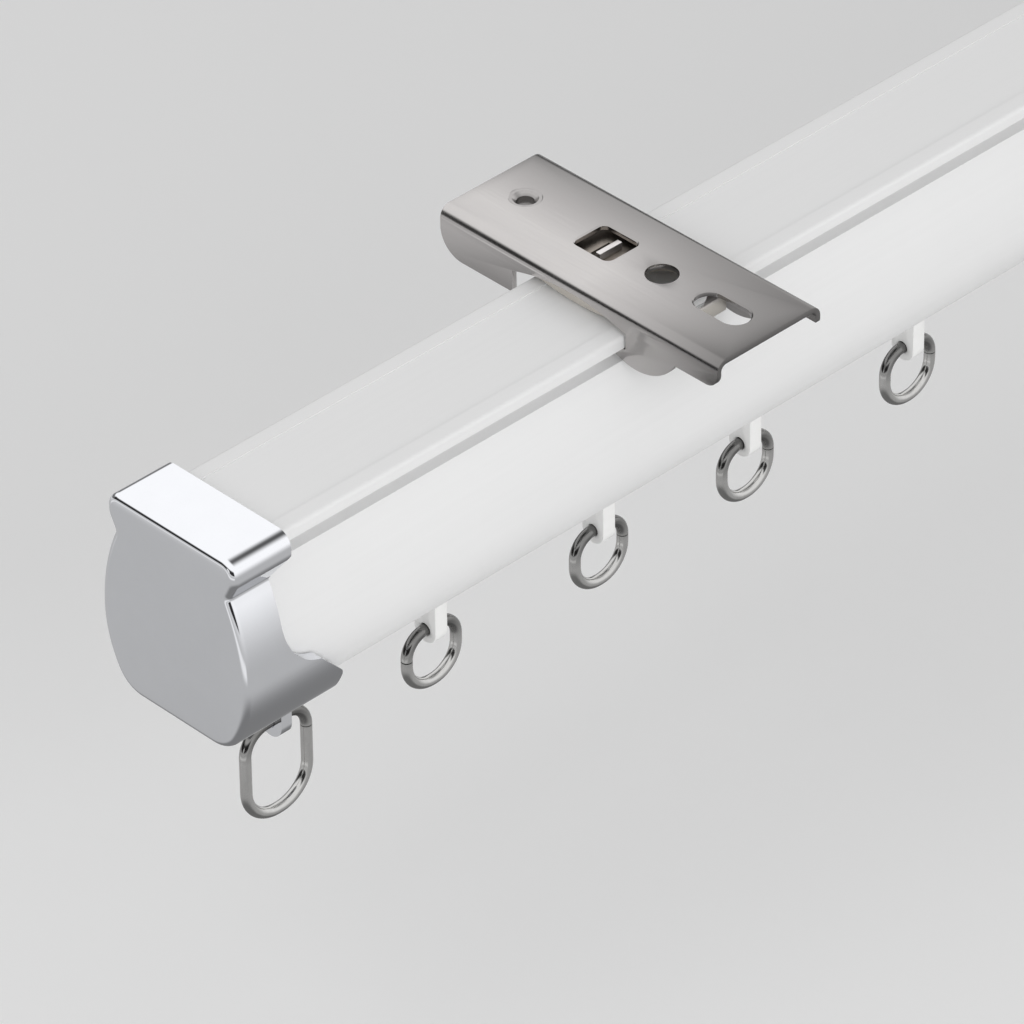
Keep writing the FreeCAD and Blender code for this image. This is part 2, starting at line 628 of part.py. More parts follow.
def save(shape, name, turn=0.0, x=0.0):
    """Writes a piece in its place: turned about the vertical, moved along the rail and to the screw line."""
    placed = shape.copy()
    placed.rotate(Vector(0, 0, 0), Vector(0, 0, 1), turn)
    placed.translate(Vector(x, SCREW_OFFSET, 0))
    placed.exportStep("parts/" + name + ".step")


def main():
    os.makedirs("parts", exist_ok=True)
    save(rail(), "rail")
    cap = end_cap()
    cap_ring = ring(CAP_RING_WIDTH, CAP_RING_HEIGHT, CAP_RING_SHOULDER, False)
    cap_ring.translate(Vector(LUG_INSET, 0, 0))
    plate = bracket_plate()
    slide = lock_slide()
    spring = return_spring()
    rivet = eyelet()
    for end, turn, outwards in (("near", 0.0, -1), ("far", 180.0, 1)):
        save(cap, end + "_end_cap", turn, outwards * CAP_END_X)
        save(cap_ring, end + "_cap_ring", turn, outwards * CAP_END_X)
        save(plate, end + "_bracket_plate", 0.0, outwards * BRACKET_X)
        save(slide, end + "_lock_slide", 0.0, outwards * BRACKET_X)
        save(spring, end + "_return_spring", 0.0, outwards * BRACKET_X)
        save(rivet, end + "_spring_eyelet", 0.0, outwards * BRACKET_X)
    body = carriage()
    pin = axle()
    for number, place in enumerate(RUNNER_PLACES, start=1):
        name = "runner_%d_" % number
        x = place - RAIL_LENGTH / 2
        save(body, name + "carriage", 0.0, x)
        save(pin, name + "axle", 0.0, x)
        save(wheel(1), name + "wheel_back", 0.0, x)
        save(wheel(-1), name + "wheel_front", 0.0, x)
        save(ring(RING_WIDTH, RING_HEIGHT, RING_SHOULDER, number == 1), name + "ring", 0.0, x)


main()
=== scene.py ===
import json
import math

import bmesh
import bpy
from bpy.props import FloatProperty, FloatVectorProperty, IntProperty, PointerProperty
from mathutils import Matrix, Vector

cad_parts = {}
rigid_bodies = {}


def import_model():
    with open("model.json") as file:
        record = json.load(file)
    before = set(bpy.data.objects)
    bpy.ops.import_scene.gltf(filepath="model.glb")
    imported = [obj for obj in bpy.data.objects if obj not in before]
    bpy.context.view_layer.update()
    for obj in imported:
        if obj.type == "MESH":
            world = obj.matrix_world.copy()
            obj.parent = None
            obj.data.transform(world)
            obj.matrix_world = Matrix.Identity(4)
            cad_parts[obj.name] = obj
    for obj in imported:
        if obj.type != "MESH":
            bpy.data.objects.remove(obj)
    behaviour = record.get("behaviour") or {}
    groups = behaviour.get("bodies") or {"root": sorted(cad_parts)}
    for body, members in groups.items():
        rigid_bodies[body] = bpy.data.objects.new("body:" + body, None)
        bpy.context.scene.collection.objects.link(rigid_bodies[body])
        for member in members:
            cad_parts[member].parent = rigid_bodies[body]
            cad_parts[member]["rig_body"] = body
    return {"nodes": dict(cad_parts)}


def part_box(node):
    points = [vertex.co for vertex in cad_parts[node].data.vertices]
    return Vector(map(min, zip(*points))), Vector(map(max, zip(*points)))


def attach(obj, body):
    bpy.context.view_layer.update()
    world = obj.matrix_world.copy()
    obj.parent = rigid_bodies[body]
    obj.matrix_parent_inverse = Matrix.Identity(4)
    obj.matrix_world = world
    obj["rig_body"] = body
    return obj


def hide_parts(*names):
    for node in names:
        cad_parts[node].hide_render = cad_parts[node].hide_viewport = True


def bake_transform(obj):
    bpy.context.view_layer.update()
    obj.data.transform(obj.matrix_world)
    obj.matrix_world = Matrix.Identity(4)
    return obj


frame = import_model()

bl_info = {
    "name": "Curtain Track Dresser",
    "version": (1, 0, 0),
    "blender": (4, 5, 0),
    "location": "View3D > Sidebar > Track",
    "description": "Finishes a ceiling curtain track: coated rail, plated caps, "
                   "steel brackets, runners and rings",
    "category": "Object",
}

ENDS = ("near", "far")
RUNNERS = (1, 2, 3, 4)
WHEEL_SIDES = ("back", "front")

# Smoothing of a copied CAD piece
MERGE_DISTANCE = 1e-6
FLAT_ANGLE = math.radians(0.2)
SMOOTH_ANGLE = math.radians(32.0)
CORNER_ANGLE = math.radians(50.0)
EDGE_SEGMENTS = 2

# Drawn grain: share of the fine lines in the tone, the part of the noise that is used,
# and how far the roughness spreads
FINE_SHARE = 0.6
GRAIN_SPAN = (0.3, 0.7)
SMOOTHEST = 0.85
ROUGHEST = 1.2
BUMP_STRENGTH = 0.5

# Handling marks: size of a speck, where patches of them lie, their scale beside the grain's, and their tone
SPECK_SPAN = (0.02, 0.12)
PATCH_SPAN = (0.52, 0.72)
MARKS_SCALE = 0.4
MARKS_TONE = 0.72

# Painted light and shade along a piece: axis, where it is full and where it ends in metres, and its share of
# a colour
# Painted light: the bracket sheet is lighter low down on its walls
WALL_PAINTED_LIGHT = ("Z", -0.0026, -0.0014, 1.2)
# Painted shade: the bracket sheet darkens towards its front end
FRONT_PAINTED_SHADE = ("Y", -0.019, 0.006, 0.38)
# Painted shade: the bracket sheet darkens towards the side that faces the middle of the track
INNER_PAINTED_SHADE = ("X", 0.2126, 0.2265, 0.40)
# Painted shade: the eyelet's dished recess is darker below its rim
DISH_PAINTED_SHADE = ("Z", -0.0007, -0.0003, 0.45)
# Painted light: the top of the lock slide's tongue is lighter
TONGUE_PAINTED_LIGHT = ("Z", -0.0013, -0.0017, 1.4)
# Painted light: the press tab end of the lock slide is lighter
PRESS_TAB_PAINTED_LIGHT = ("Y", -0.0060, -0.0045, 1.2)
# Painted light: the lower rim of the lock slide is pale
SLIDE_RIM_PAINTED_LIGHT = ("Z", -0.0030, -0.0022, 1.0)
# Painted shade: the rings are darker at their tops, under the rail
RING_TOP_PAINTED_SHADE = ("Z", -0.0412, -0.0450, 0.33)
# Painted shade: the eyelets are darker than the plate, to meet the painted shade of the sheet round them
RIVET_PAINTED_SHADE = 0.75

# Bent wire: the two upper corners come first, and the lower bends take nearly half the width
LAST_UPPER_CORNER = 1.5
FOOT_BEND = 0.485
BEND_STEPS = 20
LEAST_FACES = 100

# The studio that metal mirrors: where a tone starts and ends along an axis of the ray, and its two values
SKY = (-0.5, 0.2, 0.50, 1.12)
GROUND = (-0.86, -0.60, 0.42, 1.0)
PANEL_FOOT = (-0.21, -0.11, 0.0, 1.0)
PANEL_TOP = (0.18, 0.50, 1.0, 0.0)
PANEL_SIDE = (-0.55, -0.25, 1.0, 0.0)
REAR_REACH = (0.35, 0.55, 0.0, 0.75)
REAR_TOP = (0.1, 0.4, 1.0, 0.0)
REAR_FOOT = (-0.24, -0.12, 0.0, 1.0)
GLOW_FOOT = (-0.58, -0.50, 0.0, 0.4)
GLOW_TOP = (-0.46, -0.36, 1.0, 0.0)
PANEL_DARK = (0.0, 1.0, 1.0, 0.03)

# Round places in that studio: direction, where the tone starts and ends, and its value in the middle
PANEL_GAP = ((-1.0, 0.0, 0.0), 0.10, 0.22, 0.0)
UPPER_CARD = ((0.56, -0.10, 0.83), 0.05, 0.62, 0.10)

# Floor, lights and camera
FLOOR_HALF = 12.0
FLOOR_ROUGHNESS = 0.9
BACKDROP_TONE = 0.66
LIGHT_AIM = (-0.2, 0.0, -0.02)
KEY_PLACE = (-0.50, -1.42, 0.52)
KEY_SIZE = 1.3
FILL_PLACE = (-0.85, 0.15, 0.60)
FILL_SIZE = 0.8
SENSOR_WIDTH = 36.0
CLIP_END = 20.0


def tint(name, words, default):
    """A colour property with a plain name."""
    return FloatVectorProperty(
        name=name, description=words, default=default, size=3, min=0.0, max=1.0, subtype="COLOR"
    )


def share(name, words, default):
    """A property between nought and one."""
    return FloatProperty(name=name, description=words, default=default, min=0.0, max=1.0, subtype="FACTOR")


def length(name, words, default):
    """A length property in metres."""
    return FloatProperty(name=name, description=words, default=default, min=0.0, unit="LENGTH", precision=5)


def power(name, words, default):
    """A property for the power of a light."""
    return FloatProperty(name=name, description=words, default=default, min=0.0, unit="POWER")


def angle(name, words, degrees):
    """An angle property whose default is given in degrees."""
    return FloatProperty(name=name, description=words, default=math.radians(degrees), subtype="ANGLE")


class TrackFinishes(bpy.types.PropertyGroup):
    """Colours and gloss of the track's finishes."""

    coat_colour: tint("Coat", "White coat of the rail", (0.86, 0.86, 0.86))
    coat_gloss: share("Coat roughness", "Roughness of the rail's coat", 0.34)
    plate_colour: tint("Bright plate", "Plate of the end caps", (0.84, 0.85, 0.88))
    plate_gloss: share("Plate roughness", "Roughness of the end caps' plate", 0.06)
    bracket_colour: tint("Bracket steel", "Sheet of the brackets", (0.57, 0.55, 0.542))
    bracket_gloss: share("Bracket roughness", "Roughness of the brackets' sheet", 0.2)
    slide_colour: tint("Slide steel", "Sheet of the lock slides", (0.40, 0.36, 0.32))
    # Painted light: the colour that the lower rim of the lock slides turns to
    slide_rim_painted_light: tint("Slide rim", "Lower rim of the lock slides", (0.80, 0.76, 0.70))
    slide_gloss: share("Slide roughness", "Roughness of the lock slides", 0.36)
    spring_colour: tint("Spring strip", "Leaf of the return springs", (0.42, 0.42, 0.43))
    spring_gloss: share("Spring roughness", "Roughness of the return springs", 0.25)
    wire_colour: tint("Wire", "Wire of the rings and pins of the axles", (0.58, 0.575, 0.565))
    wire_gloss: share("Wire roughness", "Roughness of the wire", 0.14)
    moulding_colour: tint("Moulding", "Runner carriages", (0.92, 0.92, 0.91))
    moulding_gloss: share("Moulding roughness", "Roughness of the carriages", 0.42)
    wheel_colour: tint("Wheel", "Runner wheels", (0.74, 0.74, 0.72))
    wheel_gloss: share("Wheel roughness", "Roughness of the wheels", 0.45)


class TrackSizes(bpy.types.PropertyGroup):
    """Sizes of what the dresser makes or softens."""

    wire: length("Wire diameter", "Thickness of the rings' wire", 0.0016)
    shoulder: length("Runner ring shoulder", "Bend at the top corners of a runner's ring", 0.0032)
    cap_shoulder: length("Cap ring shoulder", "Bend at the top corners of a cap's ring", 0.0036)
    seam: length("Ring seam", "Gap where the two ends of a ring meet", 0.00014)
    sheet_edge: length("Sheet edge", "Most rounding of the cut edges of the sheet pieces", 0.00012)
    mould_edge: length("Moulding edge", "Most rounding of the edges of the moulded pieces", 0.00018)
    ring_steps: IntProperty(
        name="Ring steps", description="Steps round a ring's wire", default=28, min=8, max=64
    )


class TrackStage(bpy.types.PropertyGroup):
    """Floor, light and camera."""

    floor_colour: tint("Floor", "Colour of the floor", (0.90, 0.90, 0.90))
    floor_drop: length("Floor drop", "Depth of the floor below the ceiling plane", 0.085)
    ambient: share("Ambient", "Strength of the even light from all round", 0.56)
    key_power: power("Key", "Power of the main soft light", 9.0)
    fill_power: power("Fill", "Power of the second soft light", 1.7)
    azimuth: angle("Azimuth", "Camera azimuth", -44.08)
    elevation: angle("Elevation", "Camera elevation", 36.12)
    roll: angle("Roll", "Camera roll", -0.61)
    distance: length("Distance", "Camera distance from its target", 0.9877)
    lens: FloatProperty(name="Lens", description="Focal length on a 36 mm sensor", default=281.25, min=10.0)
    target: FloatVectorProperty(
        name="Target", description="Point the camera looks at", default=(-0.26839, -0.01936, -0.004), size=3,
        subtype="TRANSLATION",
    )


def finishes():
    """The finishes set for this scene."""
    return bpy.context.scene.track_finishes


def sizes():
    """The sizes set for this scene."""
    return bpy.context.scene.track_sizes


def add(tree, kind, **settings):
    """A new node with its settings made."""
    node = tree.nodes.new(kind)
    for name, value in settings.items():
        setattr(node, name, value)
    return node


def set_range(node, low, high, to_low, to_high):
    """Sets a Map Range node from and to."""
    for index, value in enumerate((low, high, to_low, to_high), start=1):
        node.inputs[index].default_value = value


def new_group(name, inputs, outputs):
    """An empty shader group with named sockets, and its two end nodes."""
    group = bpy.data.node_groups.new(name, "ShaderNodeTree")
    for socket, kind, default in inputs:
        made = group.interface.new_socket(socket, in_out="INPUT", socket_type=kind)
        if default is not None:
            made.default_value = default
    for socket, kind in outputs:
        group.interface.new_socket(socket, in_out="OUTPUT", socket_type=kind)
    return group, add(group, "NodeGroupInput"), add(group, "NodeGroupOutput")


def drawn_grain():
    """Fine lines drawn out along one axis: the mark of brushing, rolling or extruding."""
    name = "Drawn Grain"
    if name in bpy.data.node_groups:
        return bpy.data.node_groups[name]
    group, start, end = new_group(
        name,
        [
            ("Vector", "NodeSocketVector", None),
            ("Stretch", "NodeSocketVector", (1.0, 1.0, 1.0)),
            ("Scale", "NodeSocketFloat", 1000.0),
        ],
        [("Tone", "NodeSocketFloat"), ("Height", "NodeSocketFloat")],
    )
    stretch = add(group, "ShaderNodeVectorMath", operation="MULTIPLY")
    fine = add(group, "ShaderNodeTexNoise")
    fine.inputs["Detail"].default_value = 3.0
    fine.inputs["Roughness"].default_value = 0.6
    broad = add(group, "ShaderNodeTexNoise")
    broad.inputs["Scale"].default_value = 70.0
    broad.inputs["Detail"].default_value = 2.0
    mix = add(group, "ShaderNodeMath", operation="MULTIPLY_ADD")
    mix.inputs[1].default_value = FINE_SHARE
    part = add(group, "ShaderNodeMath", operation="MULTIPLY")
    part.inputs[1].default_value = 1.0 - FINE_SHARE
    link = group.links.new
    link(start.outputs["Vector"], stretch.inputs[0])
    link(start.outputs["Stretch"], stretch.inputs[1])
    link(stretch.outputs[0], fine.inputs["Vector"])
    link(start.outputs["Scale"], fine.inputs["Scale"])
    link(start.outputs["Vector"], broad.inputs["Vector"])
    link(broad.outputs["Fac"], part.inputs[0])
    link(fine.outputs["Fac"], mix.inputs[0])
    link(part.outputs[0], mix.inputs[2])
    link(mix.outputs[0], end.inputs["Tone"])
    link(fine.outputs["Fac"], end.inputs["Height"])
    return group


def handling_marks():
    """Sparse small rubs and specks from handling."""
    name = "Handling Marks"
    if name in bpy.data.node_groups:
        return bpy.data.node_groups[name]
    group, start, end = new_group(
        name,
        [
            ("Vector", "NodeSocketVector", None),
            ("Scale", "NodeSocketFloat", 400.0),
            ("Amount", "NodeSocketFloat", 0.3),
        ],
        [("Mask", "NodeSocketFloat")],
    )
    specks = add(group, "ShaderNodeTexVoronoi", feature="F1")
    patches = add(group, "ShaderNodeTexNoise")
    patches.inputs["Scale"].default_value = 55.0
    patches.inputs["Detail"].default_value = 4.0
    dots = add(group, "ShaderNodeMapRange")
    set_range(dots, *SPECK_SPAN, 1.0, 0.0)
    areas = add(group, "ShaderNodeMapRange")
    set_range(areas, *PATCH_SPAN, 0.0, 1.0)
    both = add(group, "ShaderNodeMath", operation="MULTIPLY")
    amount = add(group, "ShaderNodeMath", operation="MULTIPLY")
    link = group.links.new
    link(start.outputs["Vector"], specks.inputs["Vector"])
    link(start.outputs["Scale"], specks.inputs["Scale"])
    link(start.outputs["Vector"], patches.inputs["Vector"])
    link(specks.outputs["Distance"], dots.inputs[0])
    link(patches.outputs["Fac"], areas.inputs[0])
    link(dots.outputs[0], both.inputs[0])
    link(areas.outputs[0], both.inputs[1])
    link(both.outputs[0], amount.inputs[0])
    link(start.outputs["Amount"], amount.inputs[1])
    link(amount.outputs[0], end.inputs["Mask"])
    return group


class Finish:
    """A Principled material whose tone, roughness and surface vary by shared groups."""

    def __init__(self, name, metallic):
        self.material = bpy.data.materials.new(name)
        self.material.use_nodes = True
        self.tree = self.material.node_tree
        self.shader = self.tree.nodes["Principled BSDF"]
        self.shader.inputs["Metallic"].default_value = metallic
        self.place = add(self.tree, "ShaderNodeTexCoord").outputs["Object"]
        self.link = self.tree.links.new

    def group(self, tree, **values):
        """Places a shared group with its own values."""
        node = add(self.tree, "ShaderNodeGroup", node_tree=tree)
        self.link(self.place, node.inputs["Vector"])
        for socket, value in values.items():
            node.inputs[socket].default_value = value
        return node

    def ramp(self, source, low, high, to_low, to_high):
        """A value mapped from one range to another."""
        node = add(self.tree, "ShaderNodeMapRange")
        set_range(node, low, high, to_low, to_high)
        self.link(source, node.inputs[0])
        return node.outputs[0]

    def blend(self, factor, first, second):
        """A colour between two, each a socket or a plain colour."""
        node = add(self.tree, "ShaderNodeMix", data_type="RGBA")
        self.link(factor, node.inputs["Factor"])
        for socket, value in ((node.inputs[6], first), (node.inputs[7], second)):
            if isinstance(value, bpy.types.NodeSocket):
                self.link(value, socket)
            else:
                socket.default_value = (*value, 1.0)
        return node.outputs[2]

    def bump(self, height, depth):
        """Raises the surface by a height of the given depth."""
        node = add(self.tree, "ShaderNodeBump")
        node.inputs["Strength"].default_value = BUMP_STRENGTH
        node.inputs["Distance"].default_value = depth
        self.link(height, node.inputs["Height"])
        self.link(node.outputs[0], self.shader.inputs["Normal"])

    def feed(self, socket, source):
        """Links a source to a socket of the shader."""
        self.link(source, self.shader.inputs[socket])


def scaled(colour, factor):
    """A colour made lighter or darker by a factor."""
    return tuple(channel * factor for channel in colour)


def grained(name, colour, gloss, metallic, stretch, scale, contrast, depth, marks=0.25):
    """A finish with drawn grain in its tone, roughness and surface, and a few handling marks."""
    made = Finish(name, metallic)
    grain = made.group(drawn_grain(), Stretch=stretch, Scale=scale)
    rubs = made.group(handling_marks(), Scale=scale * MARKS_SCALE, Amount=marks)
    tone = made.ramp(grain.outputs["Tone"], *GRAIN_SPAN, 0.0, 1.0)
    base = made.blend(tone, scaled(colour, 1.0 - contrast), scaled(colour, 1.0 + contrast * 0.5))
    worn = made.blend(rubs.outputs["Mask"], base, scaled(colour, MARKS_TONE))
    made.feed("Base Color", worn)
    roughest = min(1.0, gloss * ROUGHEST)
    made.feed("Roughness", made.ramp(grain.outputs["Tone"], *GRAIN_SPAN, gloss * SMOOTHEST, roughest))
    made.bump(grain.outputs["Height"], depth)
    return made


def paint_light_and_shade(made, tone, colour, mirrored=False):
    """Paints light and shade into a finish: it turns to a lighter or darker share of a colour along one axis,
    alike on both track ends where mirrored.
    """
    axis, full_at, none_at, factor = tone
    split = add(made.tree, "ShaderNodeSeparateXYZ")
    made.link(made.place, split.inputs[0])
    place = split.outputs[axis]
    if mirrored:
        fold = add(made.tree, "ShaderNodeMath", operation="ABSOLUTE")
        made.link(place, fold.inputs[0])
        place = fold.outputs[0]
    amount = made.ramp(place, full_at, none_at, 1.0, 0.0)
    base = made.shader.inputs["Base Color"].links[0].from_socket
    made.feed("Base Color", made.blend(amount, base, scaled(colour, factor)))


def link_object(name, data):
    """A new object in the scene."""
    made = bpy.data.objects.new(name, data)
    bpy.context.scene.collection.objects.link(made)
    return made


def softened(node, material, edge=0.0, rides=True):
    """A merged and smoothed copy of a CAD piece that stands for it.

    Its sharp edges are rounded by up to edge. It rides on the piece's body, or is left free of any body.
    """
    source = frame["nodes"][node]
    mesh = source.data.copy()
    mesh.name = "dressed_" + node
    if "custom_normal" in mesh.attributes:
        mesh.attributes.remove(mesh.attributes["custom_normal"])
    work = bmesh.new()
    work.from_mesh(mesh)
    bmesh.ops.remove_doubles(work, verts=work.verts, dist=MERGE_DISTANCE)
    bmesh.ops.dissolve_limit(work, angle_limit=FLAT_ANGLE, verts=work.verts, edges=work.edges)
    if edge > 0.0:
        corners = [
            line for line in work.edges
            if len(line.link_faces) == 2 and line.calc_face_angle(0.0) > CORNER_ANGLE
        ]
        bmesh.ops.bevel(
            work, geom=corners, offset=edge, offset_type="OFFSET", segments=EDGE_SEGMENTS, profile=0.5,
            affect="EDGES", clamp_overlap=True,
        )
    for flat in work.faces:
        flat.smooth = True
    for line in work.edges:
        line.smooth = len(line.link_faces) == 2 and line.calc_face_angle(0.0) < SMOOTH_ANGLE
    work.to_mesh(mesh)
    work.free()
    mesh.materials.clear()
    mesh.materials.append(material)
    made = link_object("dressed_" + node, mesh)
    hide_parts(node)
    if rides:
        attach(made, source["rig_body"])
    return made


def ring_tree():
    """A bent wire ring: a rectangle with rounded corners, cut at a seam and swept with a round wire."""
    name = "Bent Wire Ring"
    if name in bpy.data.node_groups:
        return bpy.data.node_groups[name]
    tree = bpy.data.node_groups.new(name, "GeometryNodeTree")
    for socket, kind in (
        ("Width", "NodeSocketFloat"), ("Height", "NodeSocketFloat"), ("Shoulder", "NodeSocketFloat"),
        ("Wire", "NodeSocketFloat"), ("Seam", "NodeSocketFloat"), ("Centre", "NodeSocketVector"),
        ("Turn", "NodeSocketFloat"), ("Steps", "NodeSocketInt"), ("Finish", "NodeSocketMaterial"),
    ):
        tree.interface.new_socket(socket, in_out="INPUT", socket_type=kind)
    tree.interface.new_socket("Ring", in_out="OUTPUT", socket_type="NodeSocketGeometry")
    start = add(tree, "NodeGroupInput")
    end = add(tree, "NodeGroupOutput")
    outline = add(tree, "GeometryNodeCurvePrimitiveQuadrilateral", mode="RECTANGLE")
    index = add(tree, "GeometryNodeInputIndex")
    upper = add(tree, "ShaderNodeMath", operation="LESS_THAN")
    upper.inputs[1].default_value = LAST_UPPER_CORNER
    foot = add(tree, "ShaderNodeMath", operation="MULTIPLY")
    foot.inputs[1].default_value = FOOT_BEND
    bend = add(tree, "ShaderNodeMix", data_type="FLOAT")
    fillet = add(tree, "GeometryNodeFilletCurve", mode="POLY")
    fillet.inputs["Count"].default_value = BEND_STEPS
    fillet.inputs["Limit Radius"].default_value = True
    cut = add(tree, "GeometryNodeTrimCurve", mode="LENGTH")
    size = add(tree, "GeometryNodeCurveLength")
    stop = add(tree, "ShaderNodeMath", operation="SUBTRACT")
    wire = add(tree, "GeometryNodeCurvePrimitiveCircle", mode="RADIUS")
    radius = add(tree, "ShaderNodeMath", operation="MULTIPLY")
    radius.inputs[1].default_value = 0.5
    sweep = add(tree, "GeometryNodeCurveToMesh")
    sweep.inputs["Fill Caps"].default_value = True
    turn = add(tree, "ShaderNodeCombineXYZ")
    turn.inputs["X"].default_value = math.pi / 2
    stand = add(tree, "GeometryNodeTransform")
    smooth = add(tree, "GeometryNodeSetShadeSmooth")
    real = add(tree, "GeometryNodeRealizeInstances")
    finish = add(tree, "GeometryNodeSetMaterial")
    link = tree.links.new
    link(start.outputs["Width"], outline.inputs["Width"])
    link(start.outputs["Height"], outline.inputs["Height"])
    link(index.outputs[0], upper.inputs[0])
    link(start.outputs["Width"], foot.inputs[0])
    link(upper.outputs[0], bend.inputs["Factor"])
    link(foot.outputs[0], bend.inputs[2])
    link(start.outputs["Shoulder"], bend.inputs[3])
    link(outline.outputs[0], fillet.inputs["Curve"])
    link(bend.outputs[0], fillet.inputs["Radius"])
    link(fillet.outputs[0], cut.inputs["Curve"])
    link(fillet.outputs[0], size.inputs[0])
    link(size.outputs[0], stop.inputs[0])
    link(start.outputs["Seam"], stop.inputs[1])
    link(stop.outputs[0], [s for s in cut.inputs if s.name == "End" and s.enabled][0])
    link(start.outputs["Wire"], radius.inputs[0])
    link(radius.outputs[0], wire.inputs["Radius"])
    link(start.outputs["Steps"], wire.inputs["Resolution"])
    link(cut.outputs[0], sweep.inputs["Curve"])
    link(wire.outputs[0], sweep.inputs["Profile Curve"])
    link(start.outputs["Turn"], turn.inputs["Z"])
    link(sweep.outputs[0], stand.inputs["Geometry"])
    link(turn.outputs[0], stand.inputs["Rotation"])
    link(start.outputs["Centre"], stand.inputs["Translation"])
    link(stand.outputs[0], smooth.inputs["Geometry"])
    link(smooth.outputs[0], real.inputs[0])
    link(real.outputs[0], finish.inputs["Geometry"])
    link(start.outputs["Finish"], finish.inputs["Material"])
    link(finish.outputs[0], end.inputs["Ring"])
    return tree


def wire_ring(node, shoulder, turn, material):
    """Makes the ring of one eye by the ring tree, sized from its CAD piece."""
    low, high = (Vector(corner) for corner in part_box(node))
    wire = sizes().wire
    tree = ring_tree()
    values = {
        "Width": high.x - low.x - wire,
        "Height": high.z - low.z - wire,
        "Shoulder": shoulder,
        "Wire": wire,
        "Seam": sizes().seam,
        "Centre": (low + high) / 2,
        "Turn": turn,
        "Steps": sizes().ring_steps,
        "Finish": material,
    }
    shell = link_object("wire_" + node, bpy.data.meshes.new("wire_" + node))
    modifier = shell.modifiers.new("Bent Wire", "NODES")
    modifier.node_group = tree
    for item in tree.interface.items_tree:
        if item.in_out == "INPUT":
            modifier[item.identifier] = values[item.name]
    shell.update_tag()
    bpy.context.view_layer.update()
    graph = bpy.context.evaluated_depsgraph_get()
    mesh = bpy.data.meshes.new_from_object(shell.evaluated_get(graph))
    if len(mesh.polygons) < LEAST_FACES:
        raise RuntimeError("the ring tree made no ring for " + node)
    shell.modifiers.remove(modifier)
    shell.data = mesh
    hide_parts(node)
    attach(shell, frame["nodes"][node]["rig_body"])


class TRACK_OT_coat_rail(bpy.types.Operator):
    """Gives the rail its white coat with faint lines of extruding"""

    bl_idname = "track.coat_rail"
    bl_label = "Coat Rail"

    def execute(self, context):
        look = finishes()
        coat = grained(
            "White Coat", look.coat_colour, look.coat_gloss, metallic=0.0, stretch=(0.02, 1.0, 1.0),
            scale=1400.0, contrast=0.015, depth=0.000003, marks=0.1,
        )
        softened("rail", coat.material)
        return {"FINISHED"}


class TRACK_OT_plate_caps(bpy.types.Operator):
    """Plates the end caps bright"""

    bl_idname = "track.plate_caps"
    bl_label = "Plate End Caps"

    def execute(self, context):
        look = finishes()
        plate = grained(
            "Bright Plate", look.plate_colour, look.plate_gloss, metallic=1.0, stretch=(1.0, 1.0, 1.0),
            scale=260.0, contrast=0.02, depth=0.0000015, marks=0.15,
        )
        for end in ENDS:
            softened(end + "_end_cap", plate.material)
        return {"FINISHED"}


class TRACK_OT_finish_brackets(bpy.types.Operator):
    """Brushes the bracket plates and their eyelets, lock slides and springs"""

    bl_idname = "track.finish_brackets"
    bl_label = "Finish Brackets"

    def execute(self, context):
        look = finishes()
        steel = look.bracket_colour
        edge = sizes().sheet_edge
        sheet = grained(
            "Bracket Steel", steel, look.bracket_gloss, metallic=1.0, stretch=(1.0, 0.05, 1.0),
            scale=2600.0, contrast=0.06, depth=0.000008,
        )
        # Painted light: the bracket walls are lighter low down
        paint_light_and_shade(sheet, WALL_PAINTED_LIGHT, steel)
        # Painted shade: the bracket sheet darkens towards its front end
        paint_light_and_shade(sheet, FRONT_PAINTED_SHADE, steel)
        # Painted shade: the bracket sheet darkens towards the middle of the track
        paint_light_and_shade(sheet, INNER_PAINTED_SHADE, steel, mirrored=True)
        # Painted shade: the eyelet steel is darker than the plate's
        rivet = grained(
            "Rivet Steel", scaled(steel, RIVET_PAINTED_SHADE), look.bracket_gloss, metallic=1.0,
            stretch=(1.0, 1.0, 1.0), scale=2600.0, contrast=0.1, depth=0.000008,
        )
        # Painted shade: the eyelet's dish is darker below its rim
        paint_light_and_shade(rivet, DISH_PAINTED_SHADE, steel)
        slide = grained(
            "Slide Steel", look.slide_colour, look.slide_gloss, metallic=1.0, stretch=(1.0, 1.0, 0.05),
            scale=2200.0, contrast=0.12, depth=0.00001,
        )
        # Painted light: the top of the slide's tongue is lighter
        paint_light_and_shade(slide, TONGUE_PAINTED_LIGHT, steel)
        # Painted light: the slide's press tab is lighter
        paint_light_and_shade(slide, PRESS_TAB_PAINTED_LIGHT, steel)
        # Painted light: the slide's lower rim is pale
        paint_light_and_shade(slide, SLIDE_RIM_PAINTED_LIGHT, look.slide_rim_painted_light)
        strip = grained(
            "Spring Strip", look.spring_colour, look.spring_gloss, metallic=1.0, stretch=(0.05, 1.0, 1.0),
            scale=2400.0, contrast=0.06, depth=0.000006,
        )
        for end in ENDS:
            softened(end + "_bracket_plate", sheet.material, edge)
            softened(end + "_spring_eyelet", rivet.material)
            softened(end + "_lock_slide", slide.material, edge)
            leaf = softened(end + "_return_spring", strip.material, rides=False)
            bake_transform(leaf)
        return {"FINISHED"}


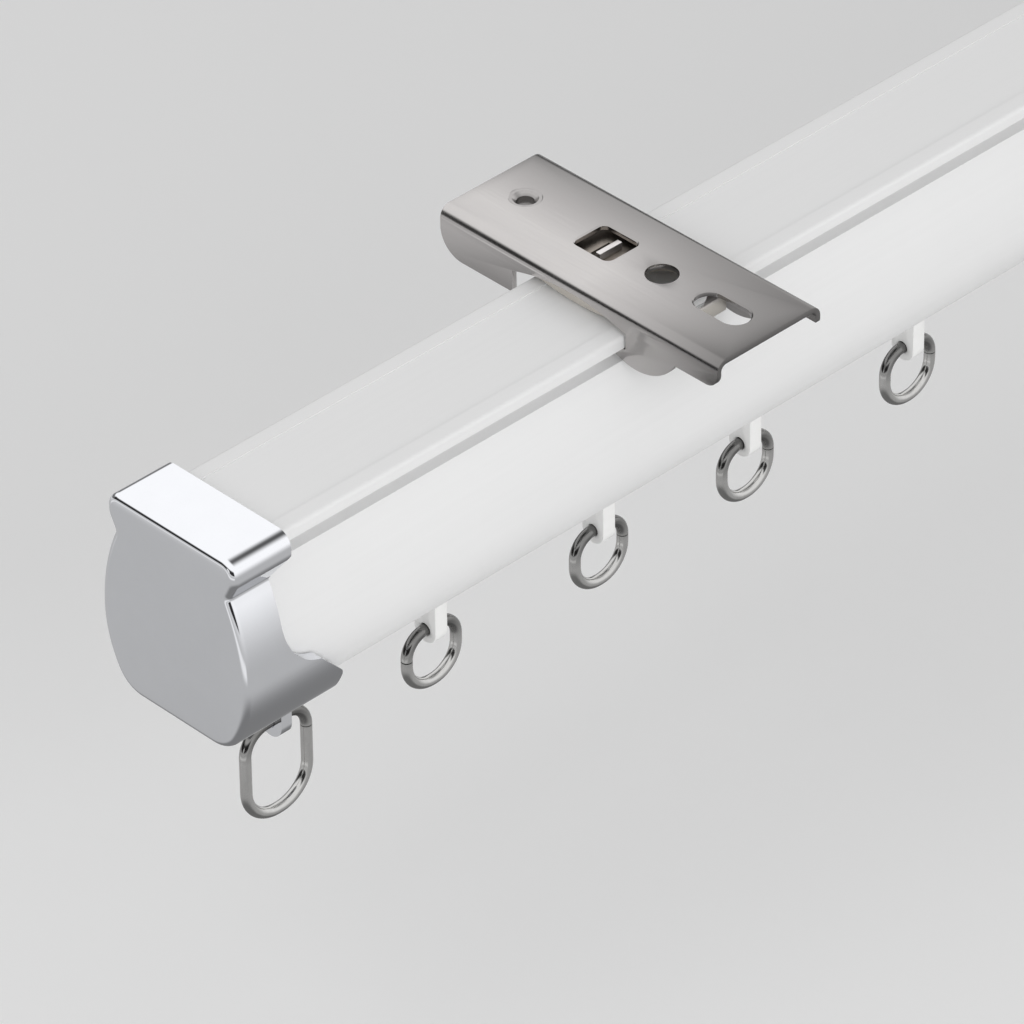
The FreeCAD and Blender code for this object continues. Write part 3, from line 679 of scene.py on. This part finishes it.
class TRACK_OT_finish_runners(bpy.types.Operator):
    """Finishes the runner carriages, axles and wheels"""

    bl_idname = "track.finish_runners"
    bl_label = "Finish Runners"

    def execute(self, context):
        look = finishes()
        edge = sizes().mould_edge
        body = grained(
            "White Moulding", look.moulding_colour, look.moulding_gloss, metallic=0.0,
            stretch=(1.0, 1.0, 1.0), scale=900.0, contrast=0.02, depth=0.000008, marks=0.1,
        )
        wheel = grained(
            "Wheel Moulding", look.wheel_colour, look.wheel_gloss, metallic=0.0, stretch=(1.0, 0.2, 1.0),
            scale=900.0, contrast=0.03, depth=0.000008, marks=0.2,
        )
        pin = grained(
            "Axle Pin", look.wire_colour, look.wire_gloss, metallic=1.0, stretch=(1.0, 0.1, 1.0),
            scale=2000.0, contrast=0.05, depth=0.000004,
        )
        for number in RUNNERS:
            name = "runner_%d_" % number
            softened(name + "carriage", body.material, edge)
            softened(name + "axle", pin.material)
            for side in WHEEL_SIDES:
                softened(name + "wheel_" + side, wheel.material, edge)
        return {"FINISHED"}


class TRACK_OT_bend_rings(bpy.types.Operator):
    """Bends the wire rings of the runners and caps"""

    bl_idname = "track.bend_rings"
    bl_label = "Bend Rings"

    def execute(self, context):
        look = finishes()
        wire = grained(
            "Ring Wire", look.wire_colour, look.wire_gloss, metallic=1.0, stretch=(1.0, 1.0, 0.3),
            scale=1500.0, contrast=0.1, depth=0.000008, marks=0.5,
        )
        # Painted shade: the rings darken towards their tops under the rail
        paint_light_and_shade(wire, RING_TOP_PAINTED_SHADE, look.wire_colour)
        for end in ENDS:
            wire_ring(end + "_cap_ring", sizes().cap_shoulder, 0.0, wire.material)
        for number in RUNNERS:
            # The first ring hangs with its seam to the other side
            turn = math.pi if number == 1 else 0.0
            wire_ring("runner_%d_ring" % number, sizes().shoulder, turn, wire.material)
        return {"FINISHED"}


def studio_world(stage):
    """Even light all round and a plain backdrop; metal mirrors a studio with a bright sky and dark panels."""
    world = bpy.data.worlds.new("Studio")
    bpy.context.scene.world = world
    world.use_nodes = True
    tree = world.node_tree
    tree.nodes.clear()
    link = tree.links.new
    place = add(tree, "ShaderNodeTexCoord")
    axes = add(tree, "ShaderNodeSeparateXYZ")
    link(place.outputs["Generated"], axes.inputs[0])

    def ramp(source, low, high, to_low, to_high):
        node = add(tree, "ShaderNodeMapRange", interpolation_type="SMOOTHSTEP")
        set_range(node, low, high, to_low, to_high)
        link(source, node.inputs[0])
        return node.outputs[0]

    def combine(operation, first, second):
        node = add(tree, "ShaderNodeMath", operation=operation)
        link(first, node.inputs[0])
        link(second, node.inputs[1])
        return node.outputs[0]

    def away_from(direction, near, far, least):
        gap = add(tree, "ShaderNodeVectorMath", operation="DISTANCE")
        gap.inputs[1].default_value = Vector(direction).normalized()
        link(place.outputs["Generated"], gap.inputs[0])
        return ramp(gap.outputs["Value"], near, far, least, 1.0)

    def background(colour):
        node = add(tree, "ShaderNodeBackground")
        node.inputs["Color"].default_value = (*colour, 1.0)
        return node

    across, behind, height = axes.outputs["X"], axes.outputs["Y"], axes.outputs["Z"]
    tone = combine("MULTIPLY", ramp(height, *SKY), ramp(height, *GROUND))
    panel = combine("MULTIPLY", ramp(height, *PANEL_FOOT), ramp(height, *PANEL_TOP))
    panel = combine("MULTIPLY", panel, away_from(*PANEL_GAP))
    side = ramp(across, *PANEL_SIDE)
    rear = combine("MULTIPLY", ramp(behind, *REAR_REACH), ramp(height, *REAR_TOP))
    rear = combine("MULTIPLY", rear, ramp(height, *REAR_FOOT))
    panel = combine("MAXIMUM", combine("MULTIPLY", panel, side), rear)
    glow = combine("MULTIPLY", ramp(height, *GLOW_FOOT), ramp(height, *GLOW_TOP))
    tone = combine("ADD", tone, combine("MULTIPLY", glow, side))
    keep = ramp(panel, *PANEL_DARK)
    keep = combine("MULTIPLY", keep, away_from(*UPPER_CARD))
    seen = combine("MULTIPLY", tone, keep)
    even = background((1.0, 1.0, 1.0))
    even.inputs["Strength"].default_value = stage.ambient
    mirrored = background((1.0, 1.0, 1.0))
    link(seen, mirrored.inputs["Strength"])
    backdrop = background(scaled(stage.floor_colour, BACKDROP_TONE))
    path = add(tree, "ShaderNodeLightPath")
    first = add(tree, "ShaderNodeMixShader")
    second = add(tree, "ShaderNodeMixShader")
    out = add(tree, "ShaderNodeOutputWorld")
    bounced = combine("MAXIMUM", path.outputs["Is Glossy Ray"], path.outputs["Is Transmission Ray"])
    link(bounced, first.inputs[0])
    link(even.outputs[0], first.inputs[1])
    link(mirrored.outputs[0], first.inputs[2])
    link(path.outputs["Is Camera Ray"], second.inputs[0])
    link(first.outputs[0], second.inputs[1])
    link(backdrop.outputs[0], second.inputs[2])
    link(second.outputs[0], out.inputs["Surface"])


def lay_floor(stage):
    """Lays a wide pale floor that is clear from below."""
    mesh = bpy.data.meshes.new("floor")
    corners = [(-1.0, -1.0), (1.0, -1.0), (1.0, 1.0), (-1.0, 1.0)]
    points = [(x * FLOOR_HALF, y * FLOOR_HALF, -stage.floor_drop) for x, y in corners]
    mesh.from_pydata(points, [], [(0, 1, 2, 3)])
    floor = link_object("floor", mesh)
    paper = bpy.data.materials.new("Floor Paper")
    paper.use_nodes = True
    tree = paper.node_tree
    shader = tree.nodes["Principled BSDF"]
    shader.inputs["Base Color"].default_value = (*stage.floor_colour, 1.0)
    shader.inputs["Roughness"].default_value = FLOOR_ROUGHNESS
    shader.inputs["Specular IOR Level"].default_value = 0.0
    facing = add(tree, "ShaderNodeNewGeometry")
    clear = add(tree, "ShaderNodeBsdfTransparent")
    sided = add(tree, "ShaderNodeMixShader")
    tree.links.new(facing.outputs["Backfacing"], sided.inputs[0])
    tree.links.new(shader.outputs[0], sided.inputs[1])
    tree.links.new(clear.outputs[0], sided.inputs[2])
    tree.links.new(sided.outputs[0], tree.nodes["Material Output"].inputs["Surface"])
    mesh.materials.append(paper)
    floor.visible_glossy = False


def soft_light(name, place, size, watts):
    """Hangs a square soft light that is aimed at the track and kept out of reflections."""
    lamp = bpy.data.lights.new(name, "AREA")
    lamp.size = size
    lamp.energy = watts
    made = link_object(name, lamp)
    heading = Vector(LIGHT_AIM) - Vector(place)
    made.matrix_world = Matrix.Translation(place) @ heading.to_track_quat("-Z", "Y").to_matrix().to_4x4()
    made.visible_glossy = False


def set_camera(stage):
    """Places the camera by its azimuth, elevation and roll about the target."""
    tilt = math.cos(stage.elevation)
    back = Vector((
        math.sin(stage.azimuth) * tilt, -math.cos(stage.azimuth) * tilt, math.sin(stage.elevation),
    ))
    right = Vector((math.cos(stage.azimuth), math.sin(stage.azimuth), 0.0))
    up = back.cross(right)
    turned_right = right * math.cos(stage.roll) + up * math.sin(stage.roll)
    turned_up = up * math.cos(stage.roll) - right * math.sin(stage.roll)
    eye = bpy.data.cameras.new("camera")
    eye.sensor_width = SENSOR_WIDTH
    eye.lens = stage.lens
    eye.clip_end = CLIP_END
    camera = link_object("camera", eye)
    pose = Matrix((turned_right, turned_up, back)).transposed().to_4x4()
    camera.matrix_world = Matrix.Translation(Vector(stage.target) + back * stage.distance) @ pose
    bpy.context.scene.camera = camera


class TRACK_OT_set_stage(bpy.types.Operator):
    """Lays the floor, sets the soft lights and places the camera"""

    bl_idname = "track.set_stage"
    bl_label = "Set Stage"

    def execute(self, context):
        stage = context.scene.track_stage
        context.scene.view_settings.view_transform = "Standard"
        studio_world(stage)
        lay_floor(stage)
        soft_light("key light", KEY_PLACE, KEY_SIZE, stage.key_power)
        soft_light("fill light", FILL_PLACE, FILL_SIZE, stage.fill_power)
        set_camera(stage)
        return {"FINISHED"}


OPERATORS = (
    TRACK_OT_coat_rail,
    TRACK_OT_plate_caps,
    TRACK_OT_finish_brackets,
    TRACK_OT_finish_runners,
    TRACK_OT_bend_rings,
    TRACK_OT_set_stage,
)


class TRACK_PT_panel(bpy.types.Panel):
    """Lists the steps that dress the track"""

    bl_label = "Curtain Track"
    bl_idname = "TRACK_PT_panel"
    bl_space_type = "VIEW_3D"
    bl_region_type = "UI"
    bl_category = "Track"

    def draw(self, context):
        for step in OPERATORS:
            self.layout.operator(step.bl_idname)


CLASSES = (TrackFinishes, TrackSizes, TrackStage, *OPERATORS, TRACK_PT_panel)


def register():
    for kind in CLASSES:
        bpy.utils.register_class(kind)
    bpy.types.Scene.track_finishes = PointerProperty(type=TrackFinishes)
    bpy.types.Scene.track_sizes = PointerProperty(type=TrackSizes)
    bpy.types.Scene.track_stage = PointerProperty(type=TrackStage)


def unregister():
    del bpy.types.Scene.track_stage
    del bpy.types.Scene.track_sizes
    del bpy.types.Scene.track_finishes
    for kind in reversed(CLASSES):
        bpy.utils.unregister_class(kind)


def main():
    register()
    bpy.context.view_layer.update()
    bpy.ops.track.coat_rail()
    bpy.ops.track.plate_caps()
    bpy.ops.track.finish_brackets()
    bpy.ops.track.finish_runners()
    bpy.ops.track.bend_rings()
    bpy.ops.track.set_stage()


if __name__ == "__main__":
    main()
